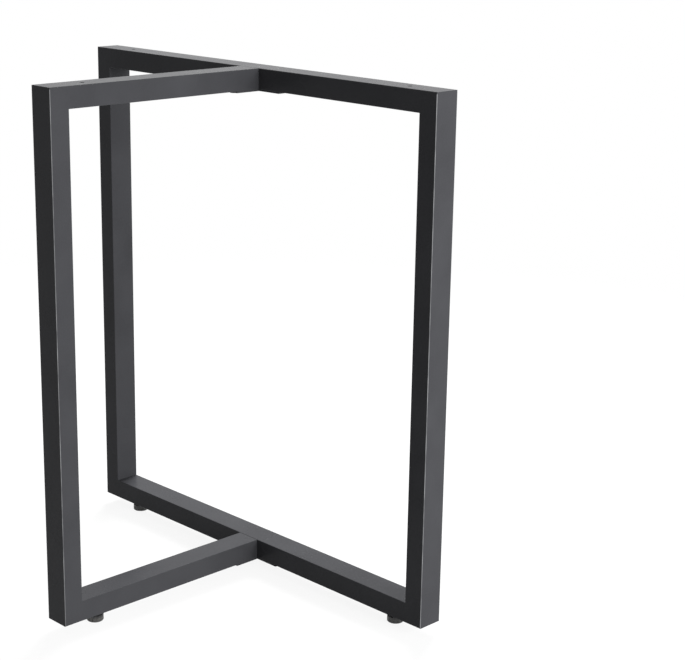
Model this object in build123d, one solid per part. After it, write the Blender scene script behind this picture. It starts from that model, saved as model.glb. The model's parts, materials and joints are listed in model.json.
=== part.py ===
from build123d import *
import os

# Steel table base, T-shaped in plan. A closed rectangular frame stands across X, and a three-sided arm
# frame reaches from its middle towards -Y. Both are mitred rectangular tube. A T-shaped plate under the
# top joint and another under the bottom joint hold the two frames together, and the base stands on
# three levelling feet. Millimetres, +Z up, origin on the floor under the middle of the base.

# The two frames, measured over their tubes
frame_height = 750.0
frame_width = 720.0
arm_reach = 360.0

# Tube section: its depth lies in the plane of a frame, its breadth across it
tube_depth = 30.0
tube_breadth = 40.0
tube_wall = 1.5
tube_corner = 1.0
butt_gap = 0.4

# Holes in the top tubes that take the screws of a table top
fixing_radius = 3.25
fixing_inset = 66.0

# T-shaped joint plates
plate_limb = 60.0
plate_width = 37.0
plate_thickness = 2.5
plate_corner = 1.5
arm_screw_spacing = 20.0

# Thin-headed screws that hold the plates, and the rivet nuts that take them
screw_radius = 3.0
screw_length = 12.0
screw_tip = 0.6
head_radius = 6.0
head_height = 1.6
head_bevel = 0.5
socket_width = 4.0
socket_depth = 2.2
screw_hole_play = 0.25
plate_nut_radius = 4.5
plate_nut_head = 5.4
plate_nut_bulge = 6.2
plate_nut_bulge_height = 3.0
plate_nut_length = 10.5

# Levelling feet: a moulded base on a threaded stud, in a flanged rivet nut
foot_height = 16.0
foot_inset = 66.0
foot_radius = 12.0
foot_rim_height = 9.0
foot_sole_bevel = 0.8
foot_neck_radius = 8.5
foot_shoulder_height = 2.5
flute_count = 12
flute_radius = 3.0
flute_depth = 0.7
flute_floor = 2.5
stud_radius = 4.0
stud_seat = 10.0
stud_tip = 1.0
stud_headroom = 6.0
foot_nut_radius = 5.5
foot_nut_flange_radius = 8.0
foot_nut_flange = 1.5
foot_nut_bulge = 7.5
foot_nut_bulge_height = 3.5
foot_nut_length = 16.0

# Fits
thread_play = 0.05
seat_play = 0.05

# Places that follow from the sizes above
overall_depth = arm_reach + tube_breadth
low_face = foot_height
high_face = foot_height + frame_height
high_underside = high_face - tube_depth
frame_y = overall_depth / 2 - tube_breadth / 2
butt_y = frame_y - tube_breadth / 2
arm_end_y = -overall_depth / 2
frame_end_x = frame_width / 2
plate_free = plate_limb - tube_breadth / 2
foot_base_height = foot_height - foot_nut_flange
foot_places = {
    "left": (foot_inset - frame_end_x, frame_y),
    "right": (frame_end_x - foot_inset, frame_y),
    "arm": (0, arm_end_y + foot_inset),
}
frame_fixings = [(fixing_inset - frame_end_x, frame_y), (frame_end_x - fixing_inset, frame_y)]
arm_fixing = (0, arm_end_y + fixing_inset)
frame_screws = [(side * (tube_breadth / 2 + plate_free / 2), frame_y) for side in (-1, 1)]
arm_screws = [(0, butt_y - plate_free / 2 + side * arm_screw_spacing / 2) for side in (-1, 1)]


def upright_rod(place, low, high, radius):
    """A plain cylinder that stands at a place in plan, from one height to another."""
    x, y = place
    return Pos(x, y, low) * Cylinder(radius, high - low, align=(Align.CENTER, Align.CENTER, Align.MIN))


def turned(points, place, height):
    """A solid turned about Z from (radius, height) points, set at a place in plan."""
    x, y = place
    outline = make_face(Polyline(*[(r, 0, z) for r, z in points], close=True))
    return Pos(x, y, height) * revolve(outline, Axis.Z)


def tube(length, mitre_start, mitre_end):
    """A tube along Z whose +X side is the frame's outside, mitred where another tube joins it."""
    outside = RectangleRounded(tube_depth, tube_breadth, tube_corner)
    inside = Rectangle(tube_depth - 2 * tube_wall, tube_breadth - 2 * tube_wall)
    solid = extrude(outside - inside, length)
    if mitre_start:
        start = Plane(origin=(tube_depth / 2, 0, 0), z_dir=(1, 0, 1))
        solid = split(solid, bisect_by=start, keep=Keep.TOP)
    if mitre_end:
        end = Plane(origin=(tube_depth / 2, 0, length), z_dir=(1, 0, -1))
        solid = split(solid, bisect_by=end, keep=Keep.TOP)
    return solid


def placed_tube(start, along, outward, length, mitre_end=True):
    """A tube that runs from the middle of its start section, with its outside turned outward."""
    return Plane(origin=start, x_dir=outward, z_dir=along).location * tube(length, True, mitre_end)


def drilled(solid, places, low, high, radius):
    """The solid with a vertical hole at each place."""
    for place in places:
        solid -= upright_rod(place, low, high, radius)
    return solid


def nut_holes(solid, places, face):
    """Countersunk holes for the plates' rivet nuts in the wall whose outer face is at this height."""
    hole = plate_nut_radius + seat_play
    rim = plate_nut_head + seat_play
    middle = tube_depth / 2
    points = [(0, -tube_wall), (rim, -tube_wall), (rim, 0), (hole, rim - hole), (hole, middle), (0, middle)]
    for place in places:
        solid -= turned(points, place, face)
    return solid


def frame_upright(side):
    """One of the closed frame's two uprights."""
    start = (side * (frame_end_x - tube_depth / 2), frame_y, low_face)
    return placed_tube(start, (0, 0, 1), (side, 0, 0), frame_height)


def frame_rail(height, outward):
    """The closed frame's top or bottom rail, before its holes."""
    return placed_tube((-frame_end_x, frame_y, height), (1, 0, 0), (0, 0, outward), frame_width)


def arm(height, outward):
    """The arm frame's top or bottom arm, before its holes."""
    start = (0, arm_end_y, height)
    return placed_tube(start, (0, 1, 0), (0, 0, outward), arm_reach - butt_gap, mitre_end=False)


def top_tube(solid, fixings, screws):
    """A top tube with its fixing holes through both walls and its nut holes below."""
    solid = drilled(solid, fixings, high_underside - tube_wall, high_face + tube_wall, fixing_radius)
    return nut_holes(solid, screws, high_underside)


def bottom_tube(solid, feet, screws):
    """A bottom tube with its foot nut holes and plate nut holes, all in the lower wall."""
    radius = foot_nut_radius + seat_play
    solid = drilled(solid, feet, low_face - tube_wall, low_face + tube_depth / 2, radius)
    return nut_holes(solid, screws, low_face)


def joint_plate(face):
    """The T-shaped plate that lies against the tubes' lower faces at this height."""
    bar = RectangleRounded(2 * plate_limb, plate_width, plate_corner)
    stem = Pos(0, -plate_limb / 2) * RectangleRounded(plate_width, plate_limb, plate_corner)
    plate = Pos(0, frame_y, face - plate_thickness) * extrude(bar + stem, plate_thickness)
    radius = screw_radius + screw_hole_play
    below = face - 2 * plate_thickness
    return drilled(plate, frame_screws + arm_screws, below, face + plate_thickness, radius)


def plate_screw(place, face):
    """A thin-headed hexagon socket screw, its head against the plate's lower face."""
    seat = face - plate_thickness
    tip = screw_length
    points = [
        (0, -head_height),
        (head_radius - head_bevel, -head_height),
        (head_radius, head_bevel - head_height),
        (head_radius, 0),
        (screw_radius, 0),
        (screw_radius, tip - screw_tip),
        (screw_radius - screw_tip, tip),
        (0, tip),
    ]
    x, y = place
    hexagon = RegularPolygon(socket_width / 2, 6, major_radius=False)
    socket = Pos(x, y, seat - head_height) * extrude(hexagon, socket_depth)
    return turned(points, place, seat) - socket


def plate_nut(place, face):
    """A set rivet nut: flush countersunk head, bulge against the inside of the wall, threaded barrel."""
    bore = screw_radius + thread_play
    bulge_top = tube_wall + plate_nut_bulge_height
    points = [
        (bore, 0),
        (plate_nut_head, 0),
        (plate_nut_radius, plate_nut_head - plate_nut_radius),
        (plate_nut_radius, tube_wall),
        (plate_nut_bulge, tube_wall),
        (plate_nut_bulge, bulge_top),
        (plate_nut_radius, bulge_top),
        (plate_nut_radius, plate_nut_length),
        (bore, plate_nut_length),
    ]
    return turned(points, place, face)


def foot_nut(place):
    """A set rivet nut with a flange under the tube, which a foot's stud screws into."""
    bore = stud_radius + thread_play
    bulge_top = tube_wall + foot_nut_bulge_height
    points = [
        (bore, -foot_nut_flange),
        (foot_nut_flange_radius, -foot_nut_flange),
        (foot_nut_flange_radius, 0),
        (foot_nut_radius, 0),
        (foot_nut_radius, tube_wall),
        (foot_nut_bulge, tube_wall),
        (foot_nut_bulge, bulge_top),
        (foot_nut_radius, bulge_top),
        (foot_nut_radius, foot_nut_length),
        (bore, foot_nut_length),
    ]
    return turned(points, place, low_face)


def foot_base(place):
    """A moulded foot with a fluted grip rim, a sloping shoulder and a neck that stops at the nut."""
    bore = stud_radius + seat_play
    floor = foot_base_height - stud_seat
    shoulder_top = foot_rim_height + foot_shoulder_height
    points = [
        (0, 0),
        (foot_radius - foot_sole_bevel, 0),
        (foot_radius, foot_sole_bevel),
        (foot_radius, foot_rim_height),
        (foot_neck_radius, shoulder_top),
        (foot_neck_radius, foot_base_height),
        (bore, foot_base_height),
        (bore, floor),
        (0, floor),
    ]
    base = turned(points, place, 0)
    reach = foot_radius + flute_radius - flute_depth
    flute = upright_rod((reach, 0), flute_floor, foot_base_height, flute_radius)
    x, y = place
    for turn in range(flute_count):
        base -= Pos(x, y) * Rot(0, 0, turn * 360 / flute_count) * flute
    return base


def foot_stud(place):
    """The threaded stud that stands in a foot's base, with a bevelled tip inside the tube."""
    bottom = foot_base_height - stud_seat
    tip = low_face + tube_depth - tube_wall - stud_headroom
    points = [
        (0, bottom),
        (stud_radius, bottom),
        (stud_radius, tip - stud_tip),
        (stud_radius - stud_tip, tip),
        (0, tip),
    ]
    return turned(points, place, 0)


def group(solids):
    """Like pieces kept as separate solids in one node."""
    return Compound(children=list(solids))


def save(name, shape):
    export_step(shape, f"parts/{name}.step")


os.makedirs("parts", exist_ok=True)

bottom_mid = low_face + tube_depth / 2
top_mid = high_face - tube_depth / 2
frame_feet = [foot_places["left"], foot_places["right"]]
save("left_upright", frame_upright(-1))
save("right_upright", frame_upright(1))
save("top_rail", top_tube(frame_rail(top_mid, 1), frame_fixings, frame_screws))
save("bottom_rail", bottom_tube(frame_rail(bottom_mid, -1), frame_feet, frame_screws))

arm_upright_start = (0, arm_end_y + tube_depth / 2, low_face)
save("arm_upright", placed_tube(arm_upright_start, (0, 0, 1), (0, -1, 0), frame_height))
save("top_arm", top_tube(arm(top_mid, 1), [arm_fixing], arm_screws))
save("bottom_arm", bottom_tube(arm(bottom_mid, -1), [foot_places["arm"]], arm_screws))

for level, face in (("top", high_underside), ("bottom", low_face)):
    save(f"{level}_joint_plate", joint_plate(face))
    save(f"{level}_plate_screws", group(plate_screw(place, face) for place in frame_screws + arm_screws))
    save(f"{level}_plate_nuts", group(plate_nut(place, face) for place in frame_screws + arm_screws))

for name, place in foot_places.items():
    save(f"{name}_foot_base", foot_base(place))
    save(f"{name}_foot_stud", foot_stud(place))
    save(f"{name}_foot_nut", foot_nut(place))
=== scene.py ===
import json
import math

import bpy
from mathutils import Matrix, Vector


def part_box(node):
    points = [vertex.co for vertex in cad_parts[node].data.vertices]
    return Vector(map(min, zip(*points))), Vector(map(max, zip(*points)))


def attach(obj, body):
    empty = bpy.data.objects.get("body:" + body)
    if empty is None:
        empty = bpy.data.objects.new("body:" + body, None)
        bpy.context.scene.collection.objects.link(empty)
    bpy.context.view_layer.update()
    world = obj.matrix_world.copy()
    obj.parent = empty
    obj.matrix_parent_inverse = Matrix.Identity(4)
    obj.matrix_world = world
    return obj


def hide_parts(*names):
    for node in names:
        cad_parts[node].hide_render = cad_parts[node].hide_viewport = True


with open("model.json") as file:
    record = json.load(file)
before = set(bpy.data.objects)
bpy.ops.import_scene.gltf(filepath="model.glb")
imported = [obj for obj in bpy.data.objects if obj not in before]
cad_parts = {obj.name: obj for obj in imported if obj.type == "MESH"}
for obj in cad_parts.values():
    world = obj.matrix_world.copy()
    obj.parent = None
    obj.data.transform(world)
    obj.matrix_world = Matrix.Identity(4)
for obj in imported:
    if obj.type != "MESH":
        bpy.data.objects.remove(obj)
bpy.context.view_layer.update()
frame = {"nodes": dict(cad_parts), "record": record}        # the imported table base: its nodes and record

# Lengths are in metres, colours are linear, and a noise is its features per metre and its detail.

# Camera, as fitted to the photograph's edges, with angles in degrees
CAMERA_PLACE = (1.7774, -1.4297, 1.0322)
CAMERA_AZIMUTH = 45.585
CAMERA_ELEVATION = 15.314
CAMERA_ROLL = 0.798
FOCAL_PIXELS = 1656.0
IMAGE_WIDTH = 685
IMAGE_HEIGHT = 660
CENTRE_PIXEL = (321.7, 328.5)
SENSOR_WIDTH = 36.0

# Floor: its colour where it lights the object and where it is seen, and how much of it is clear to the
# white studio when seen: a share of it within the first radius, and all of it beyond the second
FLOOR_HALF_SIDE = 40.0
FLOOR_COLOUR = (0.2, 0.2, 0.2, 1)
FLOOR_SEEN_COLOUR = (0.92, 0.92, 0.92, 1)
FLOOR_CLEAR_SHARE = 0.9
FLOOR_RADII = (0.9, 2.2)

# Light: a low soft key from the right, a soft lamp from behind on the left, and an even white studio,
# whose strength as light differs from its strength as seen
KEY_PLACE = (3.5, 0.4, 1.25)
KEY_SIDE = 1.9
KEY_WATTS = 206.0
BACK_PLACE = (-1.5, 2.4, 2.6)
BACK_SIDE = 1.8
BACK_WATTS = 305.0
LIGHT_AIM = (0, 0, 0.4)
STUDIO_COLOUR = (1, 1, 1, 1)
STUDIO_FILL = 0.29
STUDIO_SEEN = 1.0

# Thread of the foot studs, M8 coarse
THREAD_PITCH = 0.00125
THREAD_DEPTH = 0.00062
THREAD_ROWS_PER_PITCH = 10
THREAD_SIDES = 36
THREAD_FLAT_SHARE = 0.3
THREAD_TIP_BEVEL = 0.001

# Powder coat
COAT_COLOURS = ((0.039, 0.0394, 0.043, 1), (0.051, 0.0516, 0.056, 1))
COAT_CLOUD = (14.0, 3.0)
COAT_CLOUD_SHARE = 0.6
COAT_SPECKLE = (700.0, 2.0)
COAT_SPECKLE_SHARE = 0.4
COAT_ROUGHNESS = (0.26, 0.3)
COAT_SPECULAR = 0.045
COAT_RIPPLE = (260.0, 2.0)
COAT_RIPPLE_HEIGHT = 0.00005
COAT_GRAIN = (1500.0, 3.0)
COAT_GRAIN_HEIGHT = 0.00003

# Painted highlight on the coat: a lighter colour, in patches, on rounded edges whose normal turns outward and forward
# through these ranges. It ends just under the top tubes' upper wall and keeps off the joint plates
EDGE_HIGHLIGHT_COLOUR = (0.3, 0.302, 0.308, 1)
EDGE_HIGHLIGHT_PATCHES = (40.0, 4.0)
EDGE_HIGHLIGHT_LEAST = 0.25
EDGE_HIGHLIGHT_OUTWARD = (0.55, 0.8)
EDGE_HIGHLIGHT_FORWARD = (-0.08, -0.2)
EDGE_HIGHLIGHT_TOP = (0.763, 0.764)
EDGE_HIGHLIGHT_NEAREST = 0.15

# Metals: black oxide on the screws, bright zinc plate on the nuts and studs
BLACK_OXIDE = {
    "colours": ((0.035, 0.035, 0.038, 1), (0.075, 0.074, 0.076, 1)),
    "mottle": (420.0, 4.0),
    "roughness": (0.34, 0.48),
    "grain": (2200.0, 2.0),
    "grain_height": 0.00001,
}
ZINC_PLATE = {
    "colours": ((0.5, 0.51, 0.53, 1), (0.66, 0.665, 0.66, 1)),
    "mottle": (240.0, 4.0),
    "roughness": (0.26, 0.4),
    "grain": (1800.0, 2.0),
    "grain_height": 0.00001,
}

# Plastic of the feet, with a painted light band, lighter grey in blotches, that fades out towards the grip and the
# sole
FOOT_COLOURS = ((0.012, 0.012, 0.0125, 1), (0.02, 0.02, 0.0205, 1))
FOOT_MOTTLE = (300.0, 3.0)
FOOT_ROUGHNESS = (0.28, 0.5)
FOOT_SPECULAR = 0.5
FOOT_GRAIN = (1900.0, 2.0)
FOOT_GRAIN_HEIGHT = 0.00002
LIT_BAND_COLOUR = (0.064, 0.063, 0.06, 1)
LIT_BAND_TOP = (0.0056, 0.0068)
LIT_BAND_BOTTOM = (0.0012, 0.002)
LIT_BAND_BLOTCHES = (500.0, 4.0)
LIT_BAND_BLOTCH_RANGE = (0.35, 0.65)
LIT_BAND_LEAST = 0.5

# Ranges for masks, and the range that most of a noise lies in
RISING = (0.0, 1.0)
FALLING = (1.0, 0.0)
NOISE_RANGE = (0.3, 0.7)

# Sockets of a Mix node that mixes colours
MIX_SHARE, MIX_FIRST, MIX_SECOND, MIX_RESULT = 0, 6, 7, 2


def node(tree, kind, sockets=None, **settings):
    """A node of this kind. Sockets take a value or another node's output."""
    made = tree.nodes.new(kind)
    for name, value in settings.items():
        setattr(made, name, value)
    for name, value in (sockets or {}).items():
        if isinstance(value, bpy.types.NodeSocket):
            tree.links.new(value, made.inputs[name])
        else:
            made.inputs[name].default_value = value
    return made


def noise(tree, place, scale, detail):
    """Noise over these coordinates."""
    sockets = {"Vector": place, "Scale": scale, "Detail": detail}
    return node(tree, "ShaderNodeTexNoise", sockets).outputs["Fac"]


def remap(tree, value, source, target):
    """The value carried from one (low, high) range to another, held at the ends."""
    sockets = {"Value": value}
    sockets["From Min"], sockets["From Max"] = source
    sockets["To Min"], sockets["To Max"] = target
    return node(tree, "ShaderNodeMapRange", sockets).outputs["Result"]


def spread(tree, value, target):
    """A noise spread over a range."""
    return remap(tree, value, NOISE_RANGE, target)


def combine(tree, operation, first, second=0.0):
    """One or two numbers put through a Math node."""
    return node(tree, "ShaderNodeMath", {0: first, 1: second}, operation=operation).outputs["Value"]


def product(tree, *masks):
    """Where all the masks hold."""
    held = masks[0]
    for mask in masks[1:]:
        held = combine(tree, "MULTIPLY", held, mask)
    return held


def axes(tree, vector):
    """The X, Y and Z of a vector."""
    return node(tree, "ShaderNodeSeparateXYZ", {"Vector": vector}).outputs


def mix_colours(tree, share, first, second):
    """From the first colour to the second as the share goes from 0 to 1."""
    sockets = {MIX_SHARE: share, MIX_FIRST: first, MIX_SECOND: second}
    return node(tree, "ShaderNodeMix", sockets, data_type="RGBA").outputs[MIX_RESULT]


def mix_shaders(tree, share, first, second):
    """From the first shader to the second as the share goes from 0 to 1."""
    return node(tree, "ShaderNodeMixShader", {0: share, 1: first, 2: second}).outputs["Shader"]


def bumps(tree, layers):
    """A normal bent by each (height, distance) layer in turn."""
    normal = None
    for height, distance in layers:
        sockets = {"Height": height, "Distance": distance}
        if normal is not None:
            sockets["Normal"] = normal
        normal = node(tree, "ShaderNodeBump", sockets).outputs["Normal"]
    return normal


def new_material(name):
    """A material with an empty node tree, and that tree."""
    material = bpy.data.materials.new(name)
    material.use_nodes = True
    material.node_tree.nodes.clear()
    return material, material.node_tree


def surface(tree, sockets):
    """The material's surface shader."""
    shader = node(tree, "ShaderNodeBsdfPrincipled", sockets)
    node(tree, "ShaderNodeOutputMaterial", {"Surface": shader.outputs["BSDF"]})


def object_place(tree):
    """A point's place in its object, which for the frame's nodes is its place in the base at rest."""
    return node(tree, "ShaderNodeTexCoord").outputs["Object"]


def front_edge_highlight_mask(tree, place):
    """1 on the uprights' rounded front edges that face out of the frames, where a highlight is painted, and 0 on the
    rest of the coat.
    """
    facing = axes(tree, node(tree, "ShaderNodeNewGeometry").outputs["Normal"])
    at = axes(tree, place)
    side = combine(tree, "SIGN", at["X"])
    outward = remap(tree, combine(tree, "MULTIPLY", facing["X"], side), EDGE_HIGHLIGHT_OUTWARD, RISING)
    forward = remap(tree, facing["Y"], EDGE_HIGHLIGHT_FORWARD, RISING)
    under_top = remap(tree, at["Z"], EDGE_HIGHLIGHT_TOP, FALLING)
    sideways = combine(tree, "ABSOLUTE", at["X"])
    reach = combine(tree, "MAXIMUM", sideways, combine(tree, "MULTIPLY", at["Y"], -1.0))
    off_plates = combine(tree, "GREATER_THAN", reach, EDGE_HIGHLIGHT_NEAREST)
    return product(tree, outward, forward, under_top, off_plates)


def powder_coat():
    """Satin charcoal coat: fine grain over a slow ripple, with a painted highlight on the uprights' front edges."""
    material, tree = new_material("powder_coat")
    place = object_place(tree)
    cloud = noise(tree, place, *COAT_CLOUD)
    clouds = spread(tree, cloud, (0.0, COAT_CLOUD_SHARE))
    speckles = spread(tree, noise(tree, place, *COAT_SPECKLE), (0.0, COAT_SPECKLE_SHARE))
    coat = mix_colours(tree, combine(tree, "ADD", clouds, speckles), *COAT_COLOURS)
    # Painted highlight: a lighter colour, in patches, on the uprights' front edges
    highlight_patches = spread(tree, noise(tree, place, *EDGE_HIGHLIGHT_PATCHES), (EDGE_HIGHLIGHT_LEAST, 1.0))
    edge_highlight = product(tree, front_edge_highlight_mask(tree, place), highlight_patches)
    layers = [
        (noise(tree, place, *COAT_RIPPLE), COAT_RIPPLE_HEIGHT),
        (noise(tree, place, *COAT_GRAIN), COAT_GRAIN_HEIGHT),
    ]
    surface(tree, {
        "Base Color": mix_colours(tree, edge_highlight, coat, EDGE_HIGHLIGHT_COLOUR),
        "Roughness": spread(tree, cloud, COAT_ROUGHNESS),
        "Specular IOR Level": COAT_SPECULAR,
        "Normal": bumps(tree, layers),
    })
    return material


def mottled_metal(name, colours, mottle, roughness, grain, grain_height):
    """Bare or plated metal with a cloudy mottle and a fine grain."""
    material, tree = new_material(name)
    place = object_place(tree)
    cloud = noise(tree, place, *mottle)
    surface(tree, {
        "Base Color": mix_colours(tree, cloud, *colours),
        "Metallic": 1.0,
        "Roughness": spread(tree, cloud, roughness),
        "Normal": bumps(tree, [(noise(tree, place, *grain), grain_height)]),
    })
    return material


def foot_plastic():
    """Moulded black plastic with a fine spark-eroded grain, and a painted light band in grey above its sole."""
    material, tree = new_material("foot_plastic")
    place = object_place(tree)
    height = axes(tree, place)["Z"]
    # Painted light band: lighter grey, in blotches, between the sole and the shade under the tube
    under_top = remap(tree, height, LIT_BAND_TOP, FALLING)
    over_sole = remap(tree, height, LIT_BAND_BOTTOM, RISING)
    blotches = noise(tree, place, *LIT_BAND_BLOTCHES)
    blotches = remap(tree, blotches, LIT_BAND_BLOTCH_RANGE, (LIT_BAND_LEAST, 1.0))
    lit_band = product(tree, under_top, over_sole, blotches)
    plain = mix_colours(tree, noise(tree, place, *FOOT_MOTTLE), *FOOT_COLOURS)
    surface(tree, {
        "Base Color": mix_colours(tree, lit_band, plain, LIT_BAND_COLOUR),
        "Roughness": remap(tree, lit_band, RISING, FOOT_ROUGHNESS),
        "Specular IOR Level": FOOT_SPECULAR,
        "Normal": bumps(tree, [(noise(tree, place, *FOOT_GRAIN), FOOT_GRAIN_HEIGHT)]),
    })
    return material


def seen_as_white(tree):
    """1 for rays that see the background: from the camera, or by way of gloss or glass."""
    path = node(tree, "ShaderNodeLightPath").outputs
    mirrored = combine(tree, "MAXIMUM", path["Is Glossy Ray"], path["Is Transmission Ray"])
    return combine(tree, "MAXIMUM", path["Is Camera Ray"], mirrored)


def floor_material():
    """A pale floor, mostly clear to the white studio behind it, with a soft shadow near the object."""
    material, tree = new_material("studio_floor")
    seen = seen_as_white(tree)
    colour = mix_colours(tree, seen, FLOOR_COLOUR, FLOOR_SEEN_COLOUR)
    paint = node(tree, "ShaderNodeBsdfDiffuse", {"Color": colour}).outputs["BSDF"]
    clear = node(tree, "ShaderNodeBsdfTransparent").outputs["BSDF"]
    away = node(tree, "ShaderNodeVectorMath", {0: object_place(tree)}, operation="LENGTH").outputs["Value"]
    share = product(tree, seen, remap(tree, away, FLOOR_RADII, (FLOOR_CLEAR_SHARE, 1.0)))
    below = node(tree, "ShaderNodeNewGeometry").outputs["Backfacing"]
    mixed = mix_shaders(tree, combine(tree, "MAXIMUM", share, below), paint, clear)
    node(tree, "ShaderNodeOutputMaterial", {"Surface": mixed})
    return material


def add_object(name, data):
    """A new object in the scene."""
    made = bpy.data.objects.new(name, data)
    bpy.context.scene.collection.objects.link(made)
    return made


def thread_lift(turns):
    """Height of a thread's flank at a number of turns along it, from 0 in the root to 1 on the crest."""
    share = abs(2 * (turns % 1.0) - 1)
    slope = (share - THREAD_FLAT_SHARE / 2) / (1 - THREAD_FLAT_SHARE)
    return min(max(slope, 0.0), 1.0)


def threaded_stud(name, replaced):
    """A stud with a cut thread in place of the plain one, from the same box."""
    low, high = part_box(replaced)
    middle = (low + high) / 2
    radius = (high.x - low.x) / 2
    root = radius - THREAD_DEPTH
    rows = round((high.z - low.z) / THREAD_PITCH * THREAD_ROWS_PER_PITCH)
    points = []
    for row in range(rows + 1):
        z = low.z + (high.z - low.z) * row / rows
        most = radius - max(0.0, THREAD_TIP_BEVEL - (high.z - z))
        for side in range(THREAD_SIDES):
            turn = side / THREAD_SIDES
            lift = thread_lift((z - low.z) / THREAD_PITCH - turn)
            reach = min(root + THREAD_DEPTH * lift, most)
            angle = 2 * math.pi * turn
            points.append((middle.x + reach * math.cos(angle), middle.y + reach * math.sin(angle), z))
    faces = []
    for row in range(rows):
        here, above = row * THREAD_SIDES, (row + 1) * THREAD_SIDES
        for side in range(THREAD_SIDES):
            after = (side + 1) % THREAD_SIDES
            faces.append((here + side, here + after, above + after, above + side))
    last = rows * THREAD_SIDES
    faces.append(tuple(reversed(range(THREAD_SIDES))))
    faces.append(tuple(range(last, last + THREAD_SIDES)))
    mesh = bpy.data.meshes.new(name)
    mesh.from_pydata(points, [], faces)
    mesh.update()
    return add_object(name, mesh)


def dress_nodes(materials):
    """Gives every node of the frame the material of its slot in the record."""
    for part in frame["record"]["subparts"]:
        piece = frame["nodes"][part["node"]]
        piece.data.materials.clear()
        piece.data.materials.append(materials[part["material_slot"]])


def dress_feet(materials):
    """Puts a threaded stud in each foot."""
    for foot in ("left", "right", "arm"):
        plain = f"{foot}_foot_stud"
        stud = threaded_stud(f"{foot}_foot_threaded_stud", plain)
        stud.data.materials.append(materials["zinc_steel"])
        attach(stud, f"{foot}_foot")
        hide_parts(plain)


def add_floor():
    """The floor that the base stands on."""
    side = FLOOR_HALF_SIDE
    corners = [(-side, -side, 0), (side, -side, 0), (side, side, 0), (-side, side, 0)]
    mesh = bpy.data.meshes.new("floor")
    mesh.from_pydata(corners, [], [(0, 1, 2, 3)])
    mesh.materials.append(floor_material())
    floor = add_object("floor", mesh)


def add_studio():
    """An even studio that looks plain white."""
    world = bpy.data.worlds.new("studio")
    bpy.context.scene.world = world
    world.use_nodes = True
    tree = world.node_tree
    tree.nodes.clear()
    fill = node(tree, "ShaderNodeBackground", {"Color": STUDIO_COLOUR, "Strength": STUDIO_FILL})
    backdrop = node(tree, "ShaderNodeBackground", {"Color": STUDIO_COLOUR, "Strength": STUDIO_SEEN})
    seen = seen_as_white(tree)
    mixed = mix_shaders(tree, seen, fill.outputs["Background"], backdrop.outputs["Background"])
    node(tree, "ShaderNodeOutputWorld", {"Surface": mixed})


def add_softbox(name, place, side, watts):
    """A soft square lamp that looks at the middle of the object. Gloss shows the studio in its place."""
    lamp = bpy.data.lights.new(name, "AREA")
    lamp.shape = "SQUARE"
    lamp.size = side
    lamp.energy = watts
    box = add_object(name, lamp)
    box.location = place
    box.visible_glossy = False
    box.rotation_mode = "QUATERNION"
    box.rotation_quaternion = (Vector(LIGHT_AIM) - Vector(place)).to_track_quat("-Z", "Y")


def add_camera():
    """The photograph's camera."""
    azimuth = math.radians(CAMERA_AZIMUTH)
    elevation = math.radians(CAMERA_ELEVATION)
    roll = math.radians(CAMERA_ROLL)
    level = math.cos(elevation)
    back = Vector((math.sin(azimuth) * level, -math.cos(azimuth) * level, math.sin(elevation)))
    right = Vector((math.cos(azimuth), math.sin(azimuth), 0))
    up = back.cross(right)
    rolled_right = right * math.cos(roll) + up * math.sin(roll)
    rolled_up = up * math.cos(roll) - right * math.sin(roll)
    lens = bpy.data.cameras.new("camera")
    lens.sensor_width = SENSOR_WIDTH
    lens.lens = FOCAL_PIXELS * SENSOR_WIDTH / IMAGE_WIDTH
    lens.shift_x = (IMAGE_WIDTH / 2 - CENTRE_PIXEL[0]) / IMAGE_WIDTH
    lens.shift_y = (CENTRE_PIXEL[1] - IMAGE_HEIGHT / 2) / IMAGE_WIDTH
    camera = add_object("camera", lens)
    turn = Matrix((rolled_right, rolled_up, back)).transposed()
    camera.matrix_world = Matrix.Translation(CAMERA_PLACE) @ turn.to_4x4()
    bpy.context.scene.camera = camera


slots = {
    "powder_coat": powder_coat(),
    "black_steel": mottled_metal("black_oxide", **BLACK_OXIDE),
    "zinc_steel": mottled_metal("zinc_plate", **ZINC_PLATE),
    "foot_plastic": foot_plastic(),
}
dress_nodes(slots)
dress_feet(slots)
add_floor()
add_studio()
add_softbox("key", KEY_PLACE, KEY_SIDE, KEY_WATTS)
add_softbox("back", BACK_PLACE, BACK_SIDE, BACK_WATTS)
add_camera()
bpy.context.scene.view_settings.view_transform = "Standard"
